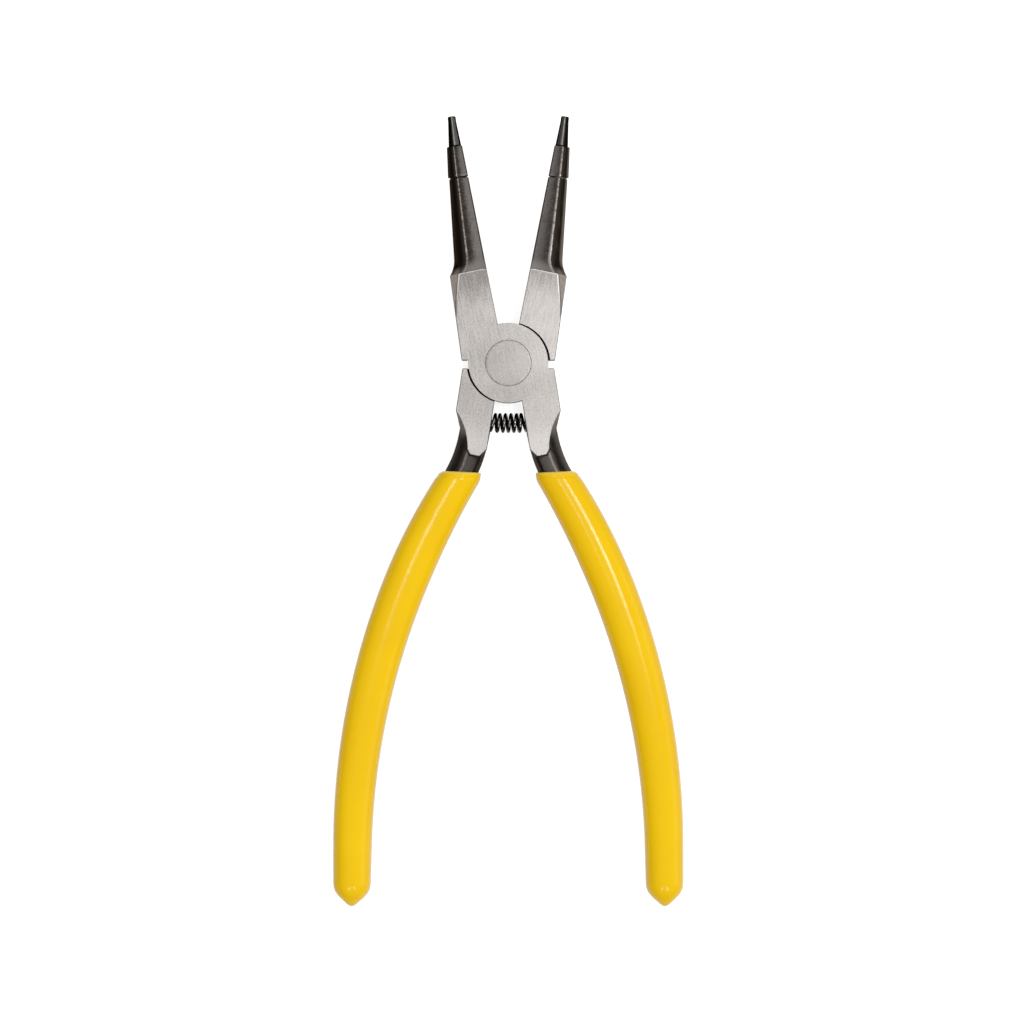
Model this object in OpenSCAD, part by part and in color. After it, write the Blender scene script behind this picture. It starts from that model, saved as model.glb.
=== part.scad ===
// Internal circlip pliers with dipped grips, lying flat with the jaws along +Y.
// The origin is on the pivot axis, on the plane that the pliers lie on.
// Both levers are one forging: the rear one is the front one turned over about Y.
// Each piece is drawn in the closed pose and then opened by half of open_angle.

/* [Joint] */
// Thickness over the two ground faces of the head
head_t = 10; // [9:0.1:11.5]
// Angle between the two levers at rest, with the spring relaxed
open_angle = 22.5; // [16:0.5:26]
// Radius of the half-lap disc on each lever
boss_r = 9.1; // [8.5:0.1:9.8]
// Gap between the two lap faces
lap_gap = 0.1; // [0.05:0.01:0.2]
// Least clearance round the lap disc
boss_gap = 0.2; // [0.15:0.01:0.4]
// Side shift of the two arcs of the lap pocket, which widens the gap at the notches
pocket_shift = 0.2; // [0:0.05:0.4]
// Diameter of the rivet's shank
rivet_d = 8; // [6:0.1:8.6]
// Diameter of the rivet's flush countersunk heads
rivet_head_d = 10.5; // [9:0.1:12]
// Running clearance of the rear lever on the rivet
pivot_fit = 0.04; // [0.02:0.01:0.08]
// Half width of the head beside the opening notches
head_half_w = 10.3; // [10:0.1:11]
// Height of the jaws' stop shoulder over the pivot, at rest
notch_top = 0.7; // [0.4:0.1:1.2]
// Depth of the handles' stop shoulder under the pivot, at rest
notch_bottom = 1.3; // [1:0.1:2]

/* [Jaws] */
// Gap between the two jaw flats when they are parallel
jaw_gap = 1.3; // [0.8:0.1:1.8]
// Distance from the pivot to the end of the jaw blocks
jaw_reach = 22.1; // [19:0.1:25]
// Width of a jaw block at its end
jaw_end_w = 8.55; // [7.8:0.05:9.2]
// Width of the tapered facet on a jaw's outer edge
facet_w = 2.2; // [1:0.1:3]
// Length of that facet along the jaw
facet_len = 10; // [6:0.5:14]
// Slope of the facet and of the scoop beside the ground tongue
ground_slope = 55; // [40:1:65]

/* [Noses] */
// Length of a nose beyond its jaw block
nose_len = 21.4; // [16:0.1:28]
// Width of a nose at the jaw block, without its flare
nose_root_w = 7.35; // [6.6:0.05:7.6]
// Width of a nose at its end
nose_end_w = 4.4; // [4:0.05:5]
// Thickness of a nose at the jaw block, without its flare
nose_root_t = 8.6; // [7.6:0.1:8.8]
// Thickness of a nose at its end
nose_end_t = 5; // [4.6:0.1:6]
// Drop of a nose's faces from their crest to the inner flat, as a share of half its thickness
nose_fall = 0.16; // [0:0.01:0.25]
// Extra width of the flare where a nose meets its block
flare_w = 1.15; // [0.4:0.05:1.2]
// Extra thickness of that flare
flare_t = 0.6; // [0.2:0.1:0.8]
// Length of that flare
flare_len = 3.5; // [2:0.1:5]

/* [Tips] */
// Lean of the tip's axis towards the other jaw
tip_lean = 4.5; // [3:0.1:6]
// Height of the groove under the tip collar
groove_h = 0.35; // [0.2:0.05:0.6]
// Diameter of that groove's floor
groove_d = 3.9; // [3:0.1:4]
// Length of the tip collar
collar_len = 7; // [5:0.1:9]
// Width and thickness that the collar stands proud of the nose's end
collar_proud = 0.2; // [0.1:0.05:0.4]
// Width of the collar at its end
collar_end_w = 3.5; // [3.3:0.05:4]
// Thickness of the collar at its end
collar_end_t = 3.9; // [3.4:0.1:4.4]
// Length of the tip pin beyond the collar
pin_len = 6.9; // [5:0.1:8]
// Diameter of the tip pin at the collar
pin_root_d = 2.9; // [2.3:0.05:3.1]
// Diameter of the tip pin's end, which enters the circlip's hole
pin_tip_d = 1.85; // [1.2:0.05:2.1]
// Length of the straight end of the tip pin
pin_land = 1.2; // [0.8:0.1:3]
// Diameter of the tip pin's shank in the collar and nose
shank_d = 2; // [1.4:0.1:2.2]
// Depth of the shank in the nose
shank_depth = 6; // [4:0.5:10]
// Broken edge at the end of the tip pin
pin_break = 0.2; // [0.05:0.05:0.3]

/* [Handles] */
// Distance from the middle line to the neck's centre where it leaves the plate, closed
neck_x = 4.45; // [4.3:0.05:4.6]
// Distance from the pivot down to the start of the neck's bend, closed
neck_drop = 18.3; // [17.6:0.1:19]
// Radius of the bend at the neck
neck_r = 30; // [24:1:36]
// Angle of the bend at the neck
neck_turn = 20; // [16:0.5:24]
// Radius of the long bow of the handles, which bends the other way
bow_r = 164; // [140:1:200]
// Angle past the bow's widest point from which a handle runs straight to its end, closed
tail_angle = 10.4; // [8:0.2:14]
// Greatest width of the tang
tang_w = 7.25; // [6.9:0.05:7.4]
// Width of the tang near its end
tang_end_w = 5.7; // [5:0.05:6.4]
// Thickness of the tang
tang_t = 7.3; // [7:0.05:7.6]

/* [Grips] */
// Wall of the dipped grip across the handle
grip_wall = 1.4; // [1.2:0.05:1.6]
// Wall of the dipped grip at its rim, where the dip ran thin
rim_wall = 1; // [0.95:0.05:1.2]
// Depth of the dip line under the pivot, at rest
grip_top = 24.8; // [24.2:0.1:27]
// Distance from the pivot down to the end of the grip, closed
grip_end = 128.4; // [118:0.1:134]
// Length of the pointed nib where the dip drained
nib_len = 5; // [4:0.5:7]
// Thickness of the dip between the tang's end and the nib
end_wall = 2; // [1.5:0.1:3]
// Radius of the rim at the dip line
rim_r = 0.8; // [0.4:0.1:0.9]

/* [Spring] */
// Outer diameter of the return spring
spring_d = 4.6; // [4:0.1:5]
// Diameter of the spring's wire
wire_d = 0.75; // [0.5:0.05:0.85]
// Number of open coils
open_coils = 10; // [8:0.5:11.5]
// Distance from the pivot down to the spring's axis, closed
spring_drop = 13.8; // [13.2:0.1:14.6]
// Depth of the spring's sockets in the levers
socket_depth = 4; // [3:0.1:4.5]
// Clearance of the spring in its sockets
socket_fit = 0.15; // [0.1:0.05:0.25]

/* [Hidden] */
$fn = 64;

ground_steel = "silver";
black_steel = "dimgray";
spring_black = "black";
dip_yellow = "gold";

open_half = open_angle / 2;
half_t = head_t / 2;
flat_x = jaw_gap / 2;
nose_reach = jaw_reach + nose_len;
// Reach of cutters, how far they run past a face, and how far joined solids run into each other
far = 60;
over = 1;
sink = 0.3;
// How far outlines run into the lap disc
lap_in = 2.5;

// Cut across the ground face's corner between the facet and the jaw block's end
corner_cut = 0.8;
// Corners of the plate under the pivot, in the closed pose
plate_in_top = 1.4;
plate_in_low = 0.95;
plate_out_x = head_half_w - 0.3;
plate_corner = [head_half_w - 0.7, -12.9];
plate_waist = [7.7, -17.1];
plate_foot_x = plate_waist.x - 0.8;
plate_foot = 23.2;
// Corners of the ground tongue at the end of that plate
tongue_root = 20.2;
tongue_end = 22.1;
tongue_in_x = 2.3;
tongue_out_x = 4.5;
tongue_out = [5.2, -21.2];
// Slope of the step at that tongue's end
tongue_slope = 75;
// Scoop that narrows the ground face to that tongue
scoop_c = [20, -23.65];
scoop_r = 14.9;

// Share of a nose's width from its inner flat to its crest, and steps of its lofts
flat_share = 0.57;
nose_steps = 24;
flare_steps = 6;

// Outward shift of a handle's crest, as a share of its half width
crest_out = 0.05;
// Steps of the handle's lofts, and the powers of its superellipses
neck_steps = 8;
bow_steps = 14;
tang_points = 24;
tang_in = 2;
tang_power = 3;
grip_points = 24;
grip_power = 2.5;
rim_steps = 3;
tilt_steps = 5;
tilt_len = 13;
grip_steps = 13;
nib_steps = 8;
nib_power = 1.5;
nib_flat = 0.02;
swell_at = 0.25;
swell_power = 1.5;
// Length over which the dip thins towards its rim
drain_len = 26;

// Steps of the spring's sweep, and its closed end coils
wire_points = 8;
coil_steps = 15;
end_coils = 1;
end_pitch = 1.08 * wire_d;
end_fit = 0.05;

function mix(a, b, u) = a + (b - a) * u;
function turned(p, a) = [p.x * cos(a) - p.y * sin(a), p.x * sin(a) + p.y * cos(a)];

// Evenly spaced values from a to b
function steps(a, b, n) = [for (i = [0:n]) mix(a, b, i / n)];

// Point at angle t on a superellipse with half axes a and b
function oval(a, b, power, t) =
    [a * sign(cos(t)) * pow(abs(cos(t)), 2 / power), b * sign(sin(t)) * pow(abs(sin(t)), 2 / power)];

// Solid skinned over rings of equal length, closed by its first and last ring
module loft(rings) {
    n = len(rings[0]);
    last = len(rings) - 1;
    skin = [for (i = [0:last - 1], j = [0:n - 1])
        let (a = i * n + j, b = i * n + (j + 1) % n)
        each [[a, b, a + n], [b, b + n, a + n]]];
    ends = [[for (j = [n - 1:-1:0]) j], [for (j = [0:n - 1]) last * n + j]];
    polyhedron([for (ring = rings) each ring], concat(skin, ends), convexity = 8);
}

// Both halves share the modules below, which draw the front half closed
module front_half() {
    translate([0, 0, half_t]) rotate([0, 0, open_half]) children();
}

module rear_half() {
    translate([0, 0, half_t]) rotate([0, 0, -open_half]) rotate([0, 180, 0]) children();
}

module both_faces() {
    children();
    mirror([0, 0, 1]) children();
}

// Frame of the tip: Y along the tip's axis, from the middle of the nose's end
module tip_frame() {
    translate([-flat_x - nose_end_w / 2, nose_reach, 0]) rotate([0, 0, -tip_lean]) children();
}

module tip_slice(from, to) {
    tip_frame() translate([-far, from, -far]) cube([2 * far, to - from, 2 * far]);
}

// Cutter above a plane that falls away from the ground face, left of the line from p to q
module fall_away(p, q, slope) {
    both_faces()
        translate([p.x, p.y, half_t])
            rotate([0, 0, atan2(q.y - p.y, q.x - p.x)])
                rotate([-slope, 0, 0])
                    translate([-far, 0, 0]) cube([2 * far, far, far]);
}

// Rivet with flush countersunk heads, grown by a clearance
module rivet_shape(clearance) {
    r = rivet_d / 2 + clearance;
    head_r = rivet_head_d / 2 + clearance;
    neck_z = half_t - (rivet_head_d - rivet_d) / 2;
    rotate_extrude()
        polygon([[0, -half_t], [head_r, -half_t], [r, -neck_z], [r, neck_z], [head_r, half_t], [0, half_t]]);
}

// Jaw block, with the tapered facet that is left where the forging rounds off
module jaw_block() {
    shoulder = turned([-head_half_w, notch_top], -open_half);
    shoulder_in = turned([lap_in - boss_r, notch_top], -open_half);
    end_x = -flat_x - jaw_end_w;
    facet_y = jaw_reach - facet_len;
    facet_x = mix(end_x, -head_half_w, facet_len / (jaw_reach - shoulder.y));
    facet_top = [end_x + facet_w, jaw_reach];
    difference() {
        translate([0, 0, -half_t])
            linear_extrude(head_t)
                polygon([[-flat_x, boss_r - lap_in], shoulder_in, [-head_half_w, shoulder.y],
                         [end_x, jaw_reach], [-flat_x, jaw_reach]]);
        fall_away([facet_x, facet_y], facet_top, ground_slope);
        fall_away(mix(facet_top, [facet_x, facet_y], corner_cut / facet_len), facet_top + [corner_cut, 0],
                  ground_slope);
    }
}

// Section across a nose: flat towards the other jaw, a crest, then a round outer side
function nose_ring(y, w, t) = concat(
    [[-flat_x, y, t / 2 * (1 - nose_fall)]],
    [for (a = steps(0, 180, nose_steps))
        [-flat_x - w * (flat_share + (1 - flat_share) * sin(a)), y, t / 2 * cos(a)]],
    [[-flat_x, y, -t / 2 * (1 - nose_fall)]]);

function nose_share(y) = (y - jaw_reach) / (nose_reach - jaw_reach);
function flare(y) = pow(max(0, 1 - max(0, y - jaw_reach) / flare_len), 2);
function nose_w(y) = mix(nose_root_w, nose_end_w, nose_share(y)) + flare_w * flare(y);
function nose_t(y) = mix(nose_root_t, nose_end_t, nose_share(y)) + flare_t * flare(y);

module nose() {
    heights = concat(jaw_reach - sink, steps(jaw_reach, jaw_reach + flare_len, flare_steps),
                     nose_reach + over);
    difference() {
        intersection() {
            loft([for (y = heights) nose_ring(y, nose_w(y), nose_t(y))]);
            tip_slice(-far, 0);
        }
        tip_frame() translate([0, -shank_depth, 0]) rotate([-90, 0, 0])
            cylinder(h = shank_depth + over, d = shank_d);
    }
}

// Plate of the lever under the pivot, ground on both faces down to a tongue
module plate() {
    shoulder = turned([plate_out_x, -notch_bottom], -open_half);
    shoulder_in = turned([boss_r - lap_in, -notch_bottom], -open_half);
    tongue_in = [plate_in_low, -tongue_root];
    difference() {
        translate([0, 0, -half_t])
            linear_extrude(head_t)
                polygon([[plate_in_top, lap_in - boss_r], [plate_in_top, -boss_r], tongue_in,
                         [tongue_in_x, -plate_foot], [plate_foot_x, -plate_foot], plate_waist,
                         plate_corner, [plate_out_x, shoulder.y], shoulder_in]);
        fall_away(tongue_out, [tongue_out_x, -tongue_end], tongue_slope);
        fall_away([tongue_out_x, -tongue_end], [tongue_in_x, -tongue_end], tongue_slope);
        fall_away([tongue_in_x, -tongue_end], tongue_in, tongue_slope);
        both_faces()
            translate([scoop_c.x, scoop_c.y, 0])
                cylinder(h = half_t + over, r1 = scoop_r - half_t / tan(ground_slope),
                         r2 = scoop_r + over / tan(ground_slope));
    }
}

// Centre line of a handle: straight in the plate, a reverse bend at the neck, the bow, then a straight tail
neck_c = [neck_x + neck_r, -neck_drop];
bow_c = neck_c - (neck_r + bow_r) * [cos(neck_turn), sin(neck_turn)];
join_y = bow_c.y + bow_r * sin(neck_turn);
tail_y = bow_c.y - bow_r * sin(tail_angle);

// Point and across angle of that line at height y
function station(y) =
    y > neck_c.y ? [neck_x, y, 0] :
    y > join_y ? let (a = asin((neck_c.y - y) / neck_r)) [neck_c.x - neck_r * cos(a), y, a] :
    y > tail_y ? let (a = asin((y - bow_c.y) / bow_r)) [bow_c.x + bow_r * cos(a), y, a] :
    [bow_c.x + bow_r * cos(tail_angle) + (y - tail_y) * tan(tail_angle), y, -tail_angle];

// Height in the closed pose of the middle of the dip line, which is level at rest
dip_y = (-grip_top - station(-grip_top - sink).x * sin(open_half)) / cos(open_half);
tang_stop = nib_len + end_wall - grip_end;

function tang_share(y) = max(0, (dip_y - y) / (dip_y + grip_end));
function tang_width(y) =
    tang_w - (tang_w - tang_end_w) * pow(abs(tang_share(y) - swell_at) / (1 - swell_at), swell_power);

// Ring of half axes a and b round a station, with its across direction at angle lean
function handle_ring(s, lean, a, b, power, count) =
    [for (i = [0:count - 1])
        let (p = oval(a, b, power, -360 * i / count), x = p.x + crest_out * a * pow(p.y / b, 2))
        [s.x + x * cos(lean), s.y + x * sin(lean), p.y]];

module tang() {
    heights = concat(neck_c.y + tang_in, steps(neck_c.y, join_y, neck_steps),
                     [for (i = [1:bow_steps]) mix(join_y, tang_stop, i / bow_steps)]);
    loft([for (y = heights)
        let (s = station(y))
        handle_ring(s, s.z, tang_width(y) / 2, tang_t / 2, tang_power, tang_points)]);
}

// One lever, seen with its jaw on the left and its lap disc in front
module lever(bore_fit) {
    difference() {
        union() {
            jaw_block();
            plate();
            tang();
            translate([0, 0, -half_t]) cylinder(h = head_t, r = boss_r);
        }
        for (side = [-1, 1])
            translate([side * pocket_shift, 0, -half_t - over])
                cylinder(h = half_t + over + lap_gap / 2, r = boss_r + boss_gap);
        rivet_shape(bore_fit);
        translate([-over, -spring_drop, 0])
            rotate([0, 90, 0])
                cylinder(h = over + socket_mouth + socket_depth, d = spring_d + 2 * socket_fit);
    }
    nose();
}

module front_lever() {
    color(ground_steel) front_half() lever(0);
}

module rear_lever() {
    color(ground_steel) rear_half() lever(pivot_fit);
}

module pivot_rivet() {
    color(ground_steel) translate([0, 0, half_t]) rivet_shape(0);
}

// Collar that carries the nose's section on beyond a turned groove
function collar_share(y) = (y - nose_reach - groove_h) / collar_len;
function collar_w(y) = mix(nose_end_w + collar_proud, collar_end_w, collar_share(y));
function collar_t(y) = mix(nose_end_t + collar_proud, collar_end_t, collar_share(y));

module tip_collar() {
    heights = [nose_reach - over, nose_reach + groove_h + collar_len + over];
    color(black_steel)
        difference() {
            union() {
                intersection() {
                    loft([for (y = heights) nose_ring(y, collar_w(y), collar_t(y))]);
                    tip_slice(groove_h, groove_h + collar_len);
                }
                tip_frame() rotate([-90, 0, 0]) cylinder(h = groove_h + sink, d = groove_d);
            }
            tip_frame() translate([0, -over, 0]) rotate([-90, 0, 0])
                cylinder(h = groove_h + collar_len + 2 * over, d = shank_d);
        }
}

module left_tip_collar() {
    front_half() tip_collar();
}

module right_tip_collar() {
    rear_half() tip_collar();
}

// Tapered pin with a straight end, pressed through the collar into the nose
module tip_pin() {
    seat = groove_h + collar_len;
    tip_r = pin_tip_d / 2;
    color(black_steel)
        tip_frame() rotate([-90, 0, 0])
            rotate_extrude()
                polygon([[0, -shank_depth], [shank_d / 2, -shank_depth], [shank_d / 2, seat],
                         [pin_root_d / 2, seat], [tip_r, seat + pin_len - pin_land],
                         [tip_r, seat + pin_len - pin_break], [tip_r - pin_break, seat + pin_len],
                         [0, seat + pin_len]]);
}

module left_tip_pin() {
    front_half() tip_pin();
}

module right_tip_pin() {
    rear_half() tip_pin();
}

// Axis of the spring at rest: straight in each socket and an arc between their mouths
socket_mouth = mix(plate_in_top, plate_in_low, (spring_drop - boss_r) / (tongue_root - boss_r));
mouth = turned([socket_mouth, -spring_drop], open_half);
arc_r = mouth.x / sin(open_half);
arc_y = mouth.y + arc_r * cos(open_half);
arc_half = arc_r * open_half * PI / 180;
spring_half = arc_half + socket_depth - end_fit;
open_pitch = (2 * spring_half - wire_d - 2 * end_coils * end_pitch) / open_coils;

function spring_axis(s) =
    let (on_arc = min(max(s, -arc_half), arc_half), a = on_arc / arc_r * 180 / PI)
    [arc_r * sin(a) + (s - on_arc) * cos(a), arc_y - arc_r * cos(a) + (s - on_arc) * sin(a), a];

// Distance along that axis after n coils
function coil_advance(n) =
    n < end_coils ? n * end_pitch :
    n < end_coils + open_coils ? end_coils * end_pitch + (n - end_coils) * open_pitch :
    (n - open_coils) * end_pitch + open_coils * open_pitch;

function wire_ring(n) =
    let (s = spring_axis(coil_advance(n) + wire_d / 2 - spring_half), a = s.z, turn = 360 * n,
         out = [cos(turn) * sin(a), -cos(turn) * cos(a), sin(turn)],
         centre = [s.x, s.y, 0] + (spring_d - wire_d) / 2 * out)
    [for (i = [0:wire_points - 1])
        let (t = 360 * i / wire_points)
        centre + wire_d / 2 * (cos(t) * out + sin(t) * [cos(a), sin(a), 0])];

module return_spring() {
    coils = open_coils + 2 * end_coils;
    color(spring_black)
        translate([0, 0, half_t])
            loft([for (n = steps(0, coils, round(coils * coil_steps))) wire_ring(n)]);
}

// Dipped grip: a rim that is level at rest, a bowed body and a drained nib
function grip_lean(s) = mix(-open_half, s.z, min(1, max(0, dip_y - rim_r - s.y) / tilt_len));
function dip_wall(y) = mix(grip_wall, rim_wall, pow(max(0, 1 - max(0, dip_y - y) / drain_len), 2));
function grip_ring(y, inset, share) =
    let (s = station(y), lean = grip_lean(s), w = tang_width(y) / 2 + dip_wall(y))
    handle_ring(s, lean, share * (w / cos(s.z - lean) - inset), share * (half_t - inset),
                grip_power, grip_points);

// Share of the full section at a distance d from the nib's end
function nib_share(d) = pow(1 - pow(1 - d / nib_len, nib_power), 1 / nib_power);

module grip_body() {
    body_top = dip_y - rim_r;
    body_mid = body_top - tilt_len;
    body_end = nib_len - grip_end;
    rim = [for (a = steps(0, 90, rim_steps))
        grip_ring(dip_y - rim_r * (1 - cos(a)), rim_r * (1 - sin(a)), 1)];
    tilt = [for (i = [1:tilt_steps]) grip_ring(mix(body_top, body_mid, i / tilt_steps), 0, 1)];
    body = [for (i = [1:grip_steps]) grip_ring(mix(body_mid, body_end, i / grip_steps), 0, 1)];
    nib = [for (i = [1:nib_steps])
        let (d = mix(nib_len, nib_flat, 1 - pow(1 - i / nib_steps, nib_power)))
        grip_ring(d - grip_end, 0, nib_share(d))];
    loft(concat(rim, tilt, body, nib));
}

module grip() {
    color(dip_yellow)
        difference() {
            grip_body();
            tang();
        }
}

module left_grip() {
    rear_half() grip();
}

module right_grip() {
    front_half() grip();
}

front_lever();
rear_lever();
pivot_rivet();
left_tip_collar();
right_tip_collar();
left_tip_pin();
right_tip_pin();
return_spring();
left_grip();
right_grip();
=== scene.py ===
from math import cos, pi, radians, sin, tan

import bmesh
import bpy
import numpy as np
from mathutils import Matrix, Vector


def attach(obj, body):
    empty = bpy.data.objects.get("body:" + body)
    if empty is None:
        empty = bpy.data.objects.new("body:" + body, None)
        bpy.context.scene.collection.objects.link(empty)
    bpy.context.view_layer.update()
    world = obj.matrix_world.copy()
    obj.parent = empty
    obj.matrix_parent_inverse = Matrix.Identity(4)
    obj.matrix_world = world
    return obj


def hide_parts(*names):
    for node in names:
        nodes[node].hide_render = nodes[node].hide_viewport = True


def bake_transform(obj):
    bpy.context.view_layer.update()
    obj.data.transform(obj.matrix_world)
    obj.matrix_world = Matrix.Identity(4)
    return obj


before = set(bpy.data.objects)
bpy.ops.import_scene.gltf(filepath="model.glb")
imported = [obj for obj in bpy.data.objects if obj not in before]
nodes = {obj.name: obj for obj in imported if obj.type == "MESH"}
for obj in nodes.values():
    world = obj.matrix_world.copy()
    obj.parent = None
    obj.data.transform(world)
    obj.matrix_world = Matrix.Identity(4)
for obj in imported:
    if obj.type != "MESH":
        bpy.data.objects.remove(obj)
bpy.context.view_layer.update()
print("frame:", len(nodes), "CAD nodes")

# Shapes are worked out in millimetres in the closed pose, as the part's source does
pose = {"openHalf": 11.25, "midHeight": 5.0}
perMetre = 1000
# the handle's centre line: straight, a reverse bend, the long bow and a straight tail
handle = {
    "neckX": 4.45, "neckDrop": 18.3, "neckRadius": 30.0, "neckTurn": 20.0, "bowRadius": 164.0, "tail": 10.4,
}


def spun(x, y, turn):
    # the point (x, y) turned by turn radians about the pivot
    return x * cos(turn) - y * sin(turn), x * sin(turn) + y * cos(turn)


def place(points, half):
    # the front half turns by +openHalf about Z; the rear half is turned over about Y, then by -openHalf;
    # both are lifted to the mid height, and millimetres become metres
    x, y, z = np.moveaxis(np.asarray(points, float), -1, 0)
    turn = radians(pose["openHalf"])
    if half == "rear_half":
        x, z, turn = -x, -z, -turn
    return np.stack([*spun(x, y, turn), z + pose["midHeight"]], -1) / perMetre


def circle(count):
    # that many angles, once round, as a row
    return np.linspace(0, 2 * pi, count + 1)[None, :-1]


def skin(name, rings, lay=None):
    # quads between neighbouring rings of a (rows, columns, 3) grid that closes round its columns,
    # and a fan from each end ring to its mean point; lay is a vector for each point, for the finishes
    rows, columns = rings.shape[:2]
    points = np.concatenate([rings.reshape(-1, 3), rings[[0, -1]].mean(axis=1)])
    here = np.arange(rows * columns).reshape(rows, columns)
    beside = np.roll(here, -1, axis=1)
    quads = np.stack([here[:-1], beside[:-1], beside[1:], here[1:]], -1).reshape(-1, 4)
    foot, top = np.full(columns, rows * columns), np.full(columns, rows * columns + 1)
    first = np.stack([beside[0], here[0], foot], -1)
    last = np.stack([here[-1], beside[-1], top], -1)
    fans = np.concatenate([first, last])
    # the signed volume says whether the faces look outwards
    a, b, c, d = (points[quads[:, i]] for i in range(4))
    e, f, g = (points[fans[:, i]] for i in range(3))
    volume = (a * (np.cross(b, c) + np.cross(c, d))).sum() + (e * np.cross(f, g)).sum()
    if volume < 0:
        quads, fans = quads[:, ::-1], fans[:, ::-1]
    mesh = bpy.data.meshes.new(name)
    mesh.from_pydata(points.tolist(), [], quads.tolist() + fans.tolist())
    if lay is not None:
        spread = np.concatenate([lay.reshape(-1, 3), lay[[0, -1]].mean(axis=1)]).astype(np.float32)
        mesh.attributes.new("lay", "FLOAT_VECTOR", "POINT").data.foreach_set("vector", spread.ravel())
    return mesh


def addPiece(name, mesh, finish, slot, body, *stoodFor, sharp=40):
    # a mesh becomes a piece: smooth but for edges over the sharp angle, with its finish, body
    # and the CAD nodes that it stands for
    mesh.shade_smooth()
    mesh.set_sharp_from_angle(angle=radians(sharp))
    mesh.materials.clear()
    mesh.materials.append(finish)
    piece = bpy.data.objects.new(name, mesh)
    bpy.context.scene.collection.objects.link(piece)
    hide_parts(*stoodFor)
    if body:
        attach(piece, body)
    return piece


# Finishes

def tint(code):
    # an sRGB hex code as the linear colour that Blender's sockets take
    share = np.array([int(code[i:i + 2], 16) for i in (1, 3, 5)]) / 255
    return (*np.where(share <= 0.04045, share / 12.92, ((share + 0.055) / 1.055) ** 2.4).tolist(), 1.0)


class Wire:
    # a socket that takes part in sums: each operator adds one Math node
    def __init__(self, finish, socket):
        self.finish, self.socket = finish, socket

    def maths(self, operation, first, second=0.0):
        # one Math node of that operation on the two values
        return self.finish.node("ShaderNodeMath", {"operation": operation}, {0: first, 1: second})

    def other(self, output):
        # another output of the same node
        return Wire(self.finish, self.socket.node.outputs[output])

    def __add__(self, value):
        return self.maths("ADD", self, value)

    def __radd__(self, value):
        return self.maths("ADD", value, self)

    def __sub__(self, value):
        return self.maths("SUBTRACT", self, value)

    def __rsub__(self, value):
        return self.maths("SUBTRACT", value, self)

    def __mul__(self, value):
        return self.maths("MULTIPLY", self, value)

    def __rmul__(self, value):
        return self.maths("MULTIPLY", value, self)

    def __truediv__(self, value):
        return self.maths("DIVIDE", self, value)

    def __rtruediv__(self, value):
        return self.maths("DIVIDE", value, self)

    def __pow__(self, value):
        return self.maths("POWER", self, value)

    def __abs__(self):
        return self.maths("ABSOLUTE", self)


class Finish:
    # a material's nodes, each added by node(type, settings, inputs)
    def __init__(self, name):
        self.material = bpy.data.materials.new(name)
        self.material.use_nodes = True
        self.tree = self.material.node_tree
        self.tree.nodes.clear()

    def node(self, kind, settings=None, inputs=None, output=0):
        # one node: wires are linked to its inputs and plain values set on them; gives the named output
        made = self.tree.nodes.new(kind)
        for key, value in (settings or {}).items():
            setattr(made, key, value)
        for key, value in (inputs or {}).items():
            if isinstance(value, Wire):
                self.tree.links.new(value.socket, made.inputs[key])
            else:
                made.inputs[key].default_value = value
        return Wire(self, made.outputs[output]) if made.outputs else None

    def inMillimetres(self, turn=0.0):
        # Object coordinates turned back by turn degrees about Z, in millimetres
        spot = self.node("ShaderNodeTexCoord", output="Object")
        settings = {"Vector": spot, "Rotation": (0, 0, -radians(turn)), "Scale": (perMetre,) * 3}
        return self.node("ShaderNodeMapping", None, settings)

    def lay(self):
        # the vector that skin kept for each point
        return self.node("ShaderNodeAttribute", {"attribute_name": "lay"}, None, "Vector")

    def split(self, vector):
        # the vector's x, y and z
        x = self.node("ShaderNodeSeparateXYZ", None, {0: vector})
        return x, x.other("Y"), x.other("Z")

    def noise(self, vector, scale, detail, stretch=(1, 1, 1)):
        # noise of that many features a unit, stretched by scaling its axes, brought to about -1 to 1
        laid = self.node("ShaderNodeMapping", None, {"Vector": vector, "Scale": stretch})
        grain = self.node("ShaderNodeTexNoise", None, {"Vector": laid, "Scale": scale, "Detail": detail})
        return (grain - 0.5) * 3.2

    def ease(self, value, low, high):
        # 0 below low, 1 above high, smooth between
        return self.node("ShaderNodeMapRange", {"interpolation_type": "SMOOTHSTEP"},
                         {"Value": value, "From Min": low, "From Max": high})

    def fade(self, value, low, high):
        # 1 below low, 0 above high, smooth between
        return 1 - self.ease(value, low, high)

    def blend(self, share, first, second):
        # the first colour at share 0, the second at 1; each is a wire or a hex code
        first, second = (tint(colour) if isinstance(colour, str) else colour for colour in (first, second))
        return self.node("ShaderNodeMix", {"data_type": "RGBA", "clamp_factor": True},
                         {0: share, 6: first, 7: second}, 2)

    def shade(self, constants, colour, roughness, height, depth):
        # a Principled surface with a bump of height times depth, in metres
        bump = self.node("ShaderNodeBump", None, {"Strength": 1.0, "Distance": depth, "Height": height})
        varying = {"Base Color": colour, "Roughness": roughness, "Normal": bump}
        surface = self.node("ShaderNodeBsdfPrincipled", None, {**constants, **varying})
        self.node("ShaderNodeOutputMaterial", None, {"Surface": surface})
        return self.material


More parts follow.
